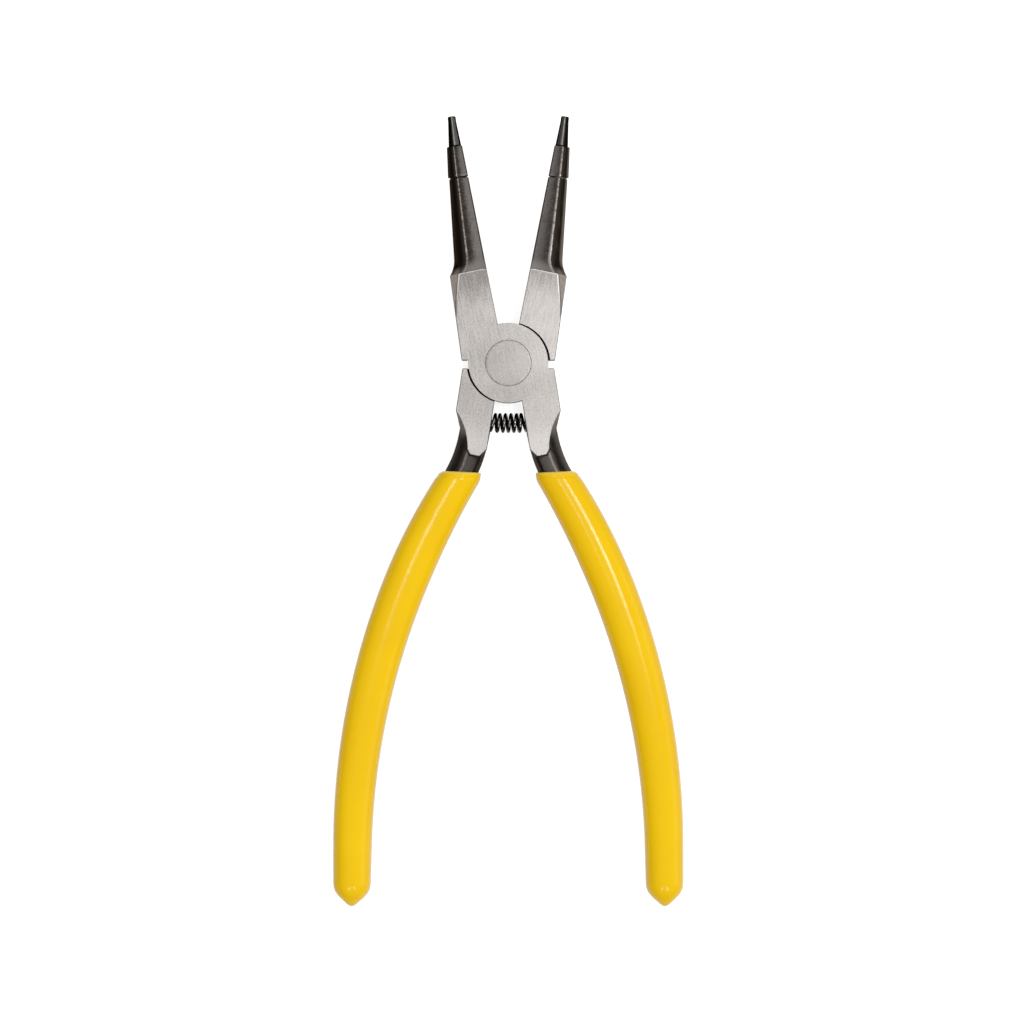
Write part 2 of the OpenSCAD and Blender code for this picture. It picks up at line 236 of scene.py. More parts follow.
# In the styles below a pair is the span of an ease, and a noise is its scale, detail and stretch
leverShape = {
    "edgeWidth": 0.17, "edgeSteps": 2, "edgeAngle": 35, "sharp": 28,  # the bevel and the smooth shading
    "ring": 5.6, "lapArc": (8.9, 9.8), "ringWeight": 0.5,  # finer bevels at the rivet's hole and in the lap
    "noseCut": 22.15, "merge": 0.002, "flatAngle": 0.3, "faceHeight": 4.99,
    "planeArea": 6.0, "levelNormal": 0.999,
    "jawEnd": 22.1, "facetX": -7.0, "facetSlope": 0.2767,  # the jaw face's end and the edge along its facet
    "cut": 0.8, "cutKept": 0.25, "cutNear": 0.12, "cutHeight": 4.9,  # the small cut across that corner
}
groundStyle = {
    "light": "#B1ADAA", "dark": "#75716E", "edge": "#F0ECE8", "graze": "#8A847E", "tone": 0.59,
    "metallic": 0.78, "roughness": 0.42, "forgedRough": 0.06, "lineRough": 0.04,
    "relief": 0.000004, "fineRelief": 0.5,
    "lines": (1.0, 3.0, (2.9, 0.22, 1.0)), "fine": (2.4, 2.0), "cloud": (0.25, 2.0), "patchyPaintedLight": (0.6, 2.0),
    "jaw": (12.5, 18.0), "jawSide": (1.3, 1.7), "rim": 4.955, "jawRim": 0.2, "rimFade": 0.03,
    "rest": (-9.0, 9.0), "right": 0.24, "toNose": (13.0, 22.0), "noseDrop": 0.56, "noseRight": 0.1,
    "pivot": (7.0, 12.0), "pivotDrop": 0.09, "plate": (2.0, 7.0), "plateDrop": 0.1, "plateRight": 0.1,
    "tongue": (12.0, 19.0), "tongueLift": 0.26, "longLines": (-8.0, 10.0), "longShare": 0.14,
    "lineShare": 0.24, "fineShare": 0.27, "cloudShare": 0.1, "patchyPaintedLightShare": 0.25,
    "bevelTop": (4.97, 4.995), "bevelBright": 0.6, "corner": 0.3, "edgeBand": (0.02, 0.26),
    "edgeUp": (15.0, 20.0), "edgeBright": 0.75,
}
forgedStyle = {
    "light": "#9F9892", "dark": "#837C77", "line": "#2E2523", "gap": "#1C1917",
    "grain": (0.9, 4.0), "grainShare": 0.4, "grainMiddle": 0.5, "pits": (1.4, 4.0), "pitRelief": 2.0,
    "facet": (8.0, 14.0), "lineFoot": (4.3, 4.55), "lineTop": (4.72, 4.78), "lineShare": 0.5,
    "bevel": (4.76, 4.84), "bevelShare": 0.6,
    "gapIn": (8.9, 9.05), "gapOut": (9.55, 9.7), "gapTop": (4.9, 4.95),
    "groove": (5.6, 5.9), "filling": (0.7, 3.0), "filled": (-0.2, 0.7), "filledShare": 0.6,
}
neckStyle = {
    "outer": "#1C1815", "ridge": "#857E78", "inner": "#443F3B", "innerRight": "#544F4B", "line": "#211D19",
    "scoop": "#0B0908", "edge": "#5C5651", "start": "#6A645F",
    "begins": (13.5, 15.5), "halfWidth": 3.5, "wander": (0.5, 2.0), "wanderShare": 0.03,
    "mottle": (1.6, 3.0, (1.6, 0.5, 1.0)), "outerFrom": (0.05, 0.55), "outerMottle": 0.34,
    "ridgeAt": 0.13, "ridgeWidth": 0.13, "ridgeMottle": 0.6, "ridgeRight": 0.25, "ridgeShare": 0.5,
    "lineAt": -0.7, "lineBand": (0.03, 0.14),
    "scoopDown": (17.0, 20.5), "scoopX": (4.2, 5.2), "scoopShare": 0.75,
    "edgeFrom": (0.55, 1.0), "edgeRight": 0.55, "edgeShare": 0.4,
    "startDown": (16.0, 19.5), "startFrom": (0.35, 0.6),
}


def groundColour(f, at, grain, tone):
    # brushed steel: lines along the lever, fine grain and clouds about a level of painted light and shade
    # that is higher to the right at rest and on the tongues, and lower round the pivot, on the plates and
    # towards the noses;
    # with a painted highlight on the jaw's rounded edges and in a band inside them
    s, shape = groundStyle, leverShape
    # painted light and shade: the level rises to the right and on the tongues, and falls round the pivot, on
    # the plates and towards the noses
    level = at["toRight"] * s["right"] + tone
    level = level - f.ease(at["y"], *s["toNose"]) * (s["noseDrop"] - at["toRight"] * s["noseRight"])
    level = level - f.fade(at["radius"], *s["pivot"]) * s["pivotDrop"]
    level = level - f.ease(at["down"], *s["plate"]) * (at["toRight"] * s["plateRight"] + s["plateDrop"])
    level = level + f.ease(at["down"], *s["tongue"]) * s["tongueLift"]
    lines = at["lines"] * (f.ease(at["y"], *s["longLines"]) * s["longShare"] + s["lineShare"])
    cloud = f.noise(at["laid"], *s["cloud"])
    brush = (lines + at["fine"] * s["fineShare"] + cloud * s["cloudShare"]) * grain + level
    face = f.blend(brush, s["dark"], s["light"])
    # painted highlight on the jaw's rounded edges, patchy
    bright = at["jawEdge"] * f.fade(at["height"], *s["bevelTop"]) * (at["patchyPaintedLight"] + s["bevelBright"])
    face = f.blend(bright, face, s["edge"])
    # painted highlight in a band inside the jaw face's end and facet edges, towards the jaw's end
    toEnd = shape["jawEnd"] - at["y"]
    toFacet = at["handX"] - shape["facetX"] + toEnd * shape["facetSlope"]
    toEdge = f.node("ShaderNodeMath", {"operation": "SMOOTH_MIN"}, {0: toEnd, 1: toFacet, 2: s["corner"]})
    bright = f.fade(toEdge, *s["edgeBand"]) * f.ease(at["y"], *s["edgeUp"]) * (at["patchyPaintedLight"] + s["edgeBright"])
    return f.blend(bright, face, s["edge"])


def forgedColour(f, at):
    # two tones of forged steel, with a painted shadow line on the facet beside the jaw's face, painted shade
    # on the rounded edges away from the jaw and in the gap round the disc, and a groove round the rivet that
    # is filled here and there
    s = forgedStyle
    grain = f.noise(at["laid"], *s["grain"]) * s["grainShare"] + s["grainMiddle"]
    forged = f.blend(grain, s["dark"], s["light"])
    # painted shadow: a dark line on the facet just under the jaw's face
    onFacet = f.ease(at["y"], *s["facet"]) * f.ease(at["inward"], *groundStyle["jawSide"])
    beside = f.ease(at["height"], *s["lineFoot"]) * f.fade(at["height"], *s["lineTop"])
    forged = f.blend(onFacet * beside * (at["patchyPaintedLight"] + s["lineShare"]), forged, s["line"])
    # painted shade on the rounded edges, but not on the jaw's
    onBevel = (1 - at["jawEdge"]) * f.ease(at["height"], *s["bevel"])
    forged = f.blend(onBevel * s["bevelShare"], forged, s["line"])
    # painted shade in the gap round the disc
    inGap = f.ease(at["radius"], *s["gapIn"]) * f.fade(at["radius"], *s["gapOut"])
    forged = f.blend(inGap * f.fade(at["height"], *s["gapTop"]), forged, s["gap"])
    filled = f.fade(at["radius"], *s["groove"]) * f.ease(f.noise(at["laid"], *s["filling"]), *s["filled"])
    return f.blend(filled * s["filledShare"], forged, groundStyle["dark"])


def neckColour(f, at):
    # across runs from 1 on the neck's outer side to -1 on its inner one: a black outer side, a painted
    # highlight along the ridge, a grey inner face, lighter on the right as painted light, and a dark line;
    # painted shadow makes the outer side darkest beside the tongue, painted light makes it greyer at its
    # edge, more on the right, and it is greyer where it starts
    s = neckStyle
    bend = f.node("ShaderNodeMath", {"operation": "MAXIMUM"}, {0: at["down"] - handle["neckDrop"], 1: 0.0})
    across = (at["handX"] - bend * bend / (2 * handle["neckRadius"]) - handle["neckX"]) / s["halfWidth"]
    across = across + f.noise(at["laid"], *s["wander"]) * s["wanderShare"]
    mottle = f.noise(at["laid"], *s["mottle"])
    # painted light: the inner face is lighter on the right
    inner = f.blend(at["toRight"], s["inner"], s["innerRight"])
    black = f.blend(f.ease(across, *s["outerFrom"]) + mottle * s["outerMottle"], inner, s["outer"])
    # painted highlight along the ridge, brighter on the right
    paintedLight = mottle * s["ridgeMottle"] + at["toRight"] * s["ridgeRight"] + s["ridgeShare"]
    black = f.blend(f.fade(abs(across - s["ridgeAt"]), 0.0, s["ridgeWidth"]) * paintedLight, black, s["ridge"])
    black = f.blend(f.fade(abs(across - s["lineAt"]), *s["lineBand"]), black, s["line"])
    # painted shadow beside the tongue
    scoop = f.fade(at["down"], *s["scoopDown"]) * f.ease(at["handX"], *s["scoopX"])
    black = f.blend(scoop * s["scoopShare"], black, s["scoop"])
    # painted light on the outer edge, more on the right
    edge = f.ease(across, *s["edgeFrom"]) * (at["toRight"] * s["edgeRight"] + s["edgeShare"])
    black = f.blend(edge, black, s["edge"])
    return f.blend(f.fade(at["down"], *s["startDown"]) * f.ease(across, *s["startFrom"]), black, s["start"])


def leverFinish(name, side, grain=1.0, tone=groundStyle["tone"]):
    # ground steel where the height over the mid plane is near half the thickness, forged steel below it,
    # and black steel from the neck down
    s = groundStyle
    f = Finish(name)
    laid = f.inMillimetres(side * pose["openHalf"])
    x, y, z = f.split(laid)
    at = {"laid": laid, "y": y, "down": y * -1.0, "handX": x * side, "inward": x * -side}
    at["height"] = abs(z - pose["midHeight"])
    at["radius"] = (x * x + y * y) ** 0.5
    # toRight rises across the middle at rest; the finishes use it for painted light from the right
    at["toRight"] = f.ease(f.split(f.inMillimetres())[0], *s["rest"])
    at["lines"], at["fine"] = f.noise(laid, *s["lines"]), f.noise(laid, *s["fine"])
    # patches that vary the painted highlights on the jaw's edges and the painted shadow line on its facets
    at["patchyPaintedLight"] = f.noise(laid, *s["patchyPaintedLight"]) * s["patchyPaintedLightShare"]
    # the jaw's rounded edges count as ground, the other ones don't
    at["jawEdge"] = f.ease(y, *s["jaw"]) * f.ease(at["inward"], *s["jawSide"])
    rim = s["rim"] - at["jawEdge"] * s["jawRim"]
    ground = f.ease(at["height"], rim, rim + s["rimFade"])
    lower = f.blend(f.ease(at["down"], *neckStyle["begins"]), forgedColour(f, at), neckColour(f, at))
    colour = f.blend(ground, lower, groundColour(f, at, grain, tone))
    smoother = ground * (at["lines"] * s["lineRough"] - s["forgedRough"])
    roughness = smoother + s["roughness"] + s["forgedRough"]
    pits = f.noise(laid, *forgedStyle["pits"]) * forgedStyle["pitRelief"]
    relief = ground * (at["lines"] + at["fine"] * s["fineRelief"]) + (1 - ground) * pits
    constants = {"Metallic": s["metallic"], "Specular Tint": tint(s["graze"])}
    return f.shade(constants, colour, roughness, relief, s["relief"])


noseStyle = {
    "inner": "#635E5B", "hollow": "#36312C", "crest": "#B4ACA5", "root": "#86817D", "outer": "#1D1814",
    "outerTop": "#3A322D", "edge": "#4C4640", "edgeRight": "#8A847E", "flare": "#7A746F",
    "graze": "#8A847E", "roughness": 0.36, "stippleRough": 0.05, "paintedHighlightRough": 0.06, "relief": 0.000008,
    "streakRelief": 0.5,
    "stipple": (2.1, 3.0), "streak": (0.8, 3.0, (2.5, 0.3, 1.0)), "cloud": (0.45, 2.0), "rest": (-6.0, 6.0),
    "hollowFrom": 0.18, "hollowBefore": 0.08, "hollowRight": 0.5,
    "hollowStipple": 0.5, "hollowStreak": 0.2, "hollowCloud": 0.22,
    "flatEdge": (0.015, 0.05), "flatShare": 0.8,
    "rootEnds": (0.03, 0.15), "rootRight": 0.25, "rootShare": 0.65,
    "outerFrom": (0.05, 0.22), "outerStreak": 0.15, "outerEdge": (0.85, 1.0), "edgeStreak": 0.08,
    "flareEnds": (0.01, 0.08), "flareShare": 0.7, "sides": (-0.01, 0.04),
    "crestWidth": 0.05, "crestRight": 0.02, "wander": (1.2, 2.0), "wanderShare": 0.008,
    "glintFrom": (0.02, 0.08), "glintEnds": (0.2, 0.4), "glint": 0.5,
    "beads": (1.0, 3.0, (1.0, 2.4, 1.0)), "beadShare": 0.7, "patchyPaintedLightShare": 0.56,
    "crestFrom": (0.0, 0.25), "crestRise": 0.55, "crestLow": 0.45,
}


def noseFinish(name, crestAt):
    # lay is (share of the width from the inner flat, share of the length, side): a stippled inner face with
    # painted shade that darkens it towards the crest, less on the right, darker along the inner flat's edge,
    # and painted light at the root, more on the right; a beaded painted highlight along the crest, wider and
    # brighter on the right, with a painted glint near the root on the right; and a dark outer side, with
    # painted shade away from the crest and painted light at its outer edge, brighter on the right, and over
    # the flare
    s = noseStyle
    f = Finish(name)
    share, far, _ = f.split(f.lay())
    past = share - crestAt
    laid = f.inMillimetres()
    # toRight is 1 on the right nose, which takes more painted light
    toRight = f.ease(f.split(laid)[0], *s["rest"])
    stipple, streak = f.noise(laid, *s["stipple"]), f.noise(laid, *s["streak"])
    # painted shade darkens the hollow face towards the crest, less on the right
    hollow = f.ease(share, s["hollowFrom"], crestAt - s["hollowBefore"]) * (1 - toRight * s["hollowRight"])
    hollow = hollow + stipple * s["hollowStipple"] + streak * s["hollowStreak"]
    hollow = hollow + f.noise(laid, *s["cloud"]) * s["hollowCloud"]
    inner = f.blend(hollow, s["inner"], s["hollow"])
    inner = f.blend(f.fade(share, *s["flatEdge"]) * s["flatShare"], inner, s["hollow"])
    # painted light at the root, more on the right
    root = f.fade(far, *s["rootEnds"]) * (toRight * s["rootRight"] + s["rootShare"])
    inner = f.blend(root, inner, s["root"])
    # painted shade darkens the outer side away from the crest
    outer = f.blend(f.ease(past, *s["outerFrom"]) + streak * s["outerStreak"], s["outerTop"], s["outer"])
    # painted light on the outer edge, brighter on the right
    edge = f.blend(toRight, s["edge"], s["edgeRight"])
    outer = f.blend(f.ease(share, *s["outerEdge"]) + streak * s["edgeStreak"], outer, edge)
    # painted light over the flare
    outer = f.blend(f.fade(far, *s["flareEnds"]) * s["flareShare"], outer, s["flare"])
    colour = f.blend(f.ease(past, *s["sides"]), inner, outer)
    # a beaded painted highlight along the crest, wider and brighter on the right and away from the root,
    # with a painted glint near the root on the right
    width = toRight * s["crestRight"] + s["crestWidth"]
    patchyPaintedLight = f.fade(abs(past + f.noise(laid, *s["wander"]) * s["wanderShare"]), 0.0, width)
    glint = toRight * f.ease(far, *s["glintFrom"]) * f.fade(far, *s["glintEnds"]) * s["glint"]
    patchyPaintedLight = patchyPaintedLight * (f.noise(laid, *s["beads"]) * s["beadShare"] + glint + s["patchyPaintedLightShare"])
    patchyPaintedLight = patchyPaintedLight * ((f.ease(far, *s["crestFrom"]) + toRight) * s["crestRise"] + s["crestLow"])
    colour = f.blend(patchyPaintedLight, colour, s["crest"])
    roughness = stipple * s["stippleRough"] - patchyPaintedLight * s["paintedHighlightRough"] + s["roughness"]
    constants = {"Metallic": 1.0, "Specular Tint": tint(s["graze"])}
    return f.shade(constants, colour, roughness, stipple + streak * s["streakRelief"], s["relief"])


pinStyle = {
    "dark": "#12100D", "grey": "#6A6763", "line": "#A8A39E", "graze": "#8A847E",
    "roughness": 0.3, "fineRough": 0.04, "relief": 0.00001,
    "lines": (1.0, 2.0, (3.5, 3.5, 0.1)), "fine": (3.0, 2.0), "wander": 0.04,
    "paintedLightFrom": (-0.4, -0.12), "paintedLightTo": (0.55, 0.8), "paintedLightLines": 0.4, "paintedLightShare": 0.75,
    "lineWidth": 0.16, "lineFine": 0.2, "lineShare": 0.8,
    "seat": (0.2, 0.42), "end": (-0.4, -0.1), "endShare": 0.75,
}


def pinFinish(name, seat, end):
    # lay is (cosine towards the other jaw, sine, distance along): black steel, with painted light making the
    # inner part of its faces grey, a painted highlight line down their middle, painted shadow round its
    # seat, and black at its end
    s = pinStyle
    f = Finish(name)
    lay = f.lay()
    lines = f.noise(lay, *s["lines"])
    fine = f.noise(f.inMillimetres(), *s["fine"])
    towards, _, along = f.split(lay)
    across = towards + fine * s["wander"]
    # painted light: grey over the inner part of the faces
    paintedLight = f.ease(across, *s["paintedLightFrom"]) * f.fade(across, *s["paintedLightTo"])
    colour = f.blend(paintedLight * (lines * s["paintedLightLines"] + s["paintedLightShare"]), s["dark"], s["grey"])
    # painted highlight line down the middle of the faces
    bright = f.fade(abs(across), 0.0, s["lineWidth"]) * (fine * s["lineFine"] + s["lineShare"])
    colour = f.blend(bright, colour, s["line"])
    # painted shadow round the seat
    colour = f.blend(f.fade(along - seat, *s["seat"]), colour, s["dark"])
    colour = f.blend(f.ease(along - end, *s["end"]) * s["endShare"], colour, s["dark"])
    constants = {"Metallic": 1.0, "Specular Tint": tint(s["graze"])}
    return f.shade(constants, colour, fine * s["fineRough"] + s["roughness"], lines, s["relief"])


wireStyle = {
    "dark": "#0C0A09", "light": "#A09A94", "roughness": 0.25, "fineRough": 0.06, "relief": 0.000006,
    "drawn": (1.0, 2.0, (3.0, 3.0, 2.0)), "drawnShare": 0.05, "fine": (2.5, 3.0),
    "outward": (0.35, 1.0), "facing": (0.86, 1.0), "facingShare": 0.85, "elsewhere": 0.05,
    "paintedLightFine": 0.35, "paintedLightShare": 0.75,
}


def wireFinish(name):
    # lay is (cosine, sine, turns): black drawn wire with faint draw lines, and a painted highlight on its
    # outer line where each coil passes the two flat sides of the tool
    s = wireStyle
    f = Finish(name)
    lay = f.lay()
    drawn = f.noise(lay, *s["drawn"])
    fine = f.noise(f.inMillimetres(), *s["fine"])
    outward, _, turns = f.split(lay)
    facing = abs(f.node("ShaderNodeMath", {"operation": "SINE"}, {0: turns * (2 * pi)}))
    # painted highlight, strongest where the coil faces the tool's flat sides
    level = f.ease(facing, *s["facing"]) * s["facingShare"] + s["elsewhere"]
    paintedLight = f.ease(outward, *s["outward"]) * level * (fine * s["paintedLightFine"] + s["paintedLightShare"])
    colour = f.blend(paintedLight + drawn * s["drawnShare"], s["dark"], s["light"])
    return f.shade({"Metallic": 1.0}, colour, fine * s["fineRough"] + s["roughness"], drawn, s["relief"])


dipStyle = {
    "yellow": "#F0C404", "deep": "#E0AD00", "side": "#B88E12", "rim": "#F6DE7A",
    "gloss": 0.17, "roughness": 0.14, "peelRough": 0.02, "cloudRough": 0.03,
    "relief": 0.00001, "peelRelief": 0.5, "cloudRelief": 2.0, "cloud": (0.07, 2.0), "peel": (0.8, 2.0),
    "sideDeep": 0.5, "cloudDeep": 0.2, "peelDeep": 0.05, "allDeep": 0.2,
    "sideUp": (0.05, 0.55), "sideShare": 0.8, "rimEnds": (0.003, 0.007), "rimShare": 0.5,
}


def dipFinish(name):
    # lay is (cosine, sine, share of the length): smooth dipped vinyl, with painted shade deepening the
    # colour by the square of one minus the sine and darkening it down the sides, deeper in slow clouds, a
    # painted highlight making it paler along the rim, and a faint orange peel
    s = dipStyle
    f = Finish(name)
    _, rise, share = f.split(f.lay())
    laid = f.inMillimetres()
    cloud, peel = f.noise(laid, *s["cloud"]), f.noise(laid, *s["peel"])
    # painted shade: deeper in colour down the sides and towards the nib
    deep = (1 - abs(rise)) ** 2.0 * s["sideDeep"] + s["allDeep"]
    deep = deep + cloud * s["cloudDeep"] + peel * s["peelDeep"]
    colour = f.blend(deep, s["yellow"], s["deep"])
    # painted shade down the sides
    colour = f.blend(f.fade(abs(rise), *s["sideUp"]) * s["sideShare"], colour, s["side"])
    # painted highlight along the rim
    colour = f.blend(f.fade(share, *s["rimEnds"]) * s["rimShare"], colour, s["rim"])
    roughness = peel * s["peelRough"] + cloud * s["cloudRough"] + s["roughness"]
    relief = peel * s["peelRelief"] + cloud * s["cloudRelief"]
    return f.shade({"Specular IOR Level": s["gloss"]}, colour, roughness, relief, s["relief"])


# Levers: the CAD meshes without their noses

def sharpenCorner(mesh, turn):
    # the two points of each jaw corner's cut move along their edges towards the corner
    s = leverShape
    points = np.empty(len(mesh.vertices) * 3)
    mesh.vertices.foreach_get("co", points)
    points = points.reshape(-1, 3)
    side, spin = np.sign(turn), radians(turn)
    corner = np.array([s["facetX"], s["jawEnd"]])
    alongFacet, alongEnd = np.array([-s["facetSlope"], -1.0]), np.array([1.0, 0.0])
    high = np.abs(points[:, 2] - pose["midHeight"] / perMetre) > s["cutHeight"] / perMetre
    for along in (alongFacet, alongEnd):
        start = corner + s["cut"] * along
        move = (corner - start) * (1 - s["cutKept"])
        at, by = (np.array(spun(side * v[0], v[1], spin)) / perMetre for v in (start, move))
        near = np.hypot(points[:, 0] - at[0], points[:, 1] - at[1]) < s["cutNear"] / perMetre
        points[near & high, :2] += by
    mesh.vertices.foreach_set("co", points.ravel())


def isPlane(face):
    # a level face, or a large one with only sharp edges, which isn't shaded smooth
    s = leverShape
    large = face.calc_area() > s["planeArea"] / perMetre ** 2
    sharp = all(edge.calc_face_angle(0) > radians(s["sharp"]) for edge in face.edges)
    return abs(face.normal.z) > s["levelNormal"] or large and sharp


def leverMesh(node, turn):
    # the CAD mesh merged, all beyond the jaw block taken off and closed, flat faces joined into one;
    # sharp edges that lie in a ground face get the bevel's weight, less of it at the rivet and in the lap
    s = leverShape
    mesh = nodes[node].data.copy()
    work = bmesh.new()
    work.from_mesh(mesh)
    bmesh.ops.remove_doubles(work, verts=work.verts, dist=s["merge"] / perMetre)
    along = Vector(spun(0, 1, radians(turn)))
    beyond = [v for v in work.verts if v.co.xy.dot(along) > s["noseCut"] / perMetre]
    bmesh.ops.delete(work, geom=beyond, context="VERTS")
    bmesh.ops.holes_fill(work, edges=[e for e in work.edges if e.is_boundary], sides=0)
    bmesh.ops.dissolve_limit(work, angle_limit=radians(s["flatAngle"]), verts=work.verts, edges=work.edges)
    bmesh.ops.recalc_face_normals(work, faces=work.faces)
    weight = work.edges.layers.float.new("bevel_weight_edge")
    for edge in work.edges:
        height = min(abs(v.co.z * perMetre - pose["midHeight"]) for v in edge.verts)
        reach = [v.co.xy.length * perMetre for v in edge.verts]
        inLap = min(reach) > s["lapArc"][0] and max(reach) < s["lapArc"][1]
        full = s["ringWeight"] if max(reach) < s["ring"] or inLap else 1.0
        rounded = edge.is_manifold and edge.calc_face_angle(0) > radians(s["edgeAngle"])
        edge[weight] = full if height > s["faceHeight"] and rounded else 0.0
    smooth = np.array([not isPlane(face) for face in work.faces])
    work.to_mesh(mesh)
    work.free()
    sharpenCorner(mesh, turn)
    return mesh, smooth


levers = (("frontLever", "front_lever", "front_half", 1), ("rearLever", "rear_lever", "rear_half", -1))
for name, node, half, side in levers:
    mesh, smooth = leverMesh(node, side * pose["openHalf"])
    steel = leverFinish(name + "Steel", side)
    lever = addPiece(name, mesh, steel, "ground_steel", half, node, sharp=leverShape["sharp"])
    mesh.polygons.foreach_set("use_smooth", smooth)
    bevel = lever.modifiers.new("edges", "BEVEL")
    bevel.limit_method = "WEIGHT"
    bevel.width = leverShape["edgeWidth"] / perMetre
    bevel.segments = leverShape["edgeSteps"]
    bevel.use_clamp_overlap = False
print("levers")

# Noses

noseShape = {
    "flatX": 0.65, "root": 22.1, "end": 43.5, "sink": 0.3,
    "rootWidth": 7.35, "endWidth": 4.4, "rootThick": 8.6, "endThick": 5.0,
    "flareWidth": 1.15, "flareThick": 0.6, "flareLength": 3.5, "crestAt": 0.555, "crestFlare": 0.09,
    "fall": 0.17, "edge": 0.22, "lean": 4.5, "leanFrom": 0.2, "rows": 72, "rowPower": 1.25, "faceFrom": 0.3,
}
# how many points there are on the inner flat, round its edge, over the face and round the back
sectionShape = {"flat": 6, "edge": 6, "face": 18, "facePower": 1.6, "back": 30}


def jawSection(*columns):
    # columns are flat, width, thick, crest, fall and edge, one value for each ring or one for all.
    # Half a section runs from the inner flat's middle to the outer middle: up the flat, round its edge,
    # over a hollow face to the crest, where the drop is fall times 1-(1-q) squared, then a quarter ellipse;
    # the lower half is its mirror. Gives x, z and the share across
    s = sectionShape
    columns = (np.reshape(v, (-1, 1)) for v in np.broadcast_arrays(*columns))
    flat, width, thick, crest, fall, edge = columns
    low = thick / 2 * (1 - fall)
    rise = np.linspace(0, 1, s["flat"])[None, :-1]
    arc = np.linspace(0, pi / 2, s["edge"])[None, :]
    # from the edge to the crest, closer near the crest
    q = 1 - (1 - np.linspace(0, 1, s["face"])[None, 1:-1]) ** s["facePower"]
    turn = np.linspace(0, pi / 2, s["back"])[None, :]
    faceShare = edge / width + (crest - edge / width) * q
    backShare = crest + (1 - crest) * np.sin(turn)
    drop = fall * (1 - (1 - (crest - faceShare) / crest) ** 2)
    xs = [0 * rise - flat, -flat - edge * (1 - np.cos(arc)),
          -flat - width * faceShare, -flat - width * backShare]
    zs = [rise * (low - edge), low - edge * (1 - np.sin(arc)),
          thick / 2 * (1 - drop), thick / 2 * np.cos(turn)]
    shares = [0 * xs[0], 0 * xs[1], faceShare, backShare]
    x, z, share = (np.concatenate(v, axis=1) for v in (xs, zs, shares))
    return tuple(np.concatenate([v, sign * v[:, -2:0:-1]], 1) for v, sign in ((x, 1), (z, -1), (share, 1)))


def noseRings():
    # width and thickness run straight from root to end, plus a flare that dies out as a square;
    # the rings lean until the last one is square to the tip's axis
    s = noseShape
    far = np.linspace(0, 1, s["rows"]) ** s["rowPower"]
    y = s["root"] - s["sink"] + (s["end"] - s["root"] + s["sink"]) * far
    share = (y - s["root"]) / (s["end"] - s["root"])
    flare = np.clip(1 - np.clip(y - s["root"], 0, None) / s["flareLength"], 0, None) ** 2
    width = s["rootWidth"] + (s["endWidth"] - s["rootWidth"]) * share + s["flareWidth"] * flare
    thick = s["rootThick"] + (s["endThick"] - s["rootThick"]) * share + s["flareThick"] * flare
    crest = s["crestAt"] + s["crestFlare"] * flare
    x, z, across = jawSection(s["flatX"], width, thick, crest, s["fall"], s["edge"])
    lean = np.clip((share - s["leanFrom"]) / (1 - s["leanFrom"]), 0, 1)[:, None] * tan(radians(s["lean"]))
    middle = s["flatX"] + s["endWidth"] / 2
    rings = np.stack([x, y[:, None] - (x + middle) * lean, z], -1)
    across = across - s["crestFlare"] * flare[:, None] * (across > s["faceFrom"])
    return rings, np.stack([across, share[:, None] + 0 * x, np.sign(z)], -1)


noseSteel = noseFinish("noseSteel", noseShape["crestAt"])
noses = (("leftNose", "front_half", "front_lever"), ("rightNose", "rear_half", "rear_lever"))
for name, half, node in noses:
    rings, lay = noseRings()
    addPiece(name, skin(name, place(rings, half), lay), noseSteel, "black_steel", half, node)
print("noses")

# Tip collars and pins

tipShape = {
    "groove": 0.35, "grooveRadius": 1.95, "grooveShade": 0.9, "collar": 7.0, "proud": 0.2, "endWidth": 3.5,
    "endThick": 3.9, "collarEdge": 0.16, "collarRows": 12, "fall": 0.12, "faceEdge": 0.2, "arcRows": 5,
    "pin": 6.9, "rootRadius": 1.45, "tipRadius": 0.925, "land": 1.2, "tipBreak": 0.34, "sink": 0.6,
    "pinFit": 0.01, "pinRows": 12, "pinColumns": 72,
}


def collarRings():
    # a short round stub, then the nose's section with rounded ends, in slices square to the leaning axis
    s, n = tipShape, noseShape
    e = s["collarEdge"]
    arc = np.linspace(0, pi / 2, s["arcRows"])
    between = np.linspace(e, s["collar"] - e, s["collarRows"])[1:-1]
    slices = [e * (1 - np.cos(arc)), between, s["collar"] - e + e * np.sin(arc)]
    along = s["groove"] + np.concatenate(slices)
    inset = np.concatenate([e * (1 - np.sin(arc)), 0 * between, e * (1 - np.cos(arc))])
    share = (along - s["groove"]) / s["collar"]
    width = n["endWidth"] + s["proud"] + (s["endWidth"] - n["endWidth"] - s["proud"]) * share
    thick = n["endThick"] + s["proud"] + (s["endThick"] - n["endThick"] - s["proud"]) * share
    x, z, across = jawSection(n["flatX"] + inset, width - 2 * inset, thick - 2 * inset,
                              n["crestAt"], s["fall"], s["faceEdge"])
    middle = -n["flatX"] - n["endWidth"] / 2
    scale = s["grooveRadius"] / np.hypot(x[0] - middle, z[0])
    stubX, stubZ = middle + scale * (x[0] - middle), scale * z[0]
    # the stub in the groove takes the dark outer colour: painted shade in the groove
    stubAcross = np.full_like(stubX, s["grooveShade"])
    x, z = np.concatenate([[stubX, stubX], x]), np.concatenate([[stubZ, stubZ], z])
    across = np.concatenate([[stubAcross, stubAcross], across])
    along = np.concatenate([[-s["sink"], s["groove"]], along])[:, None]
    lean = radians(n["lean"])
    rings = np.stack([x, n["end"] + along / cos(lean) - (x - middle) * tan(lean), z], -1)
    return rings, np.stack([across, share.mean() + 0 * x, np.sign(z)], -1)


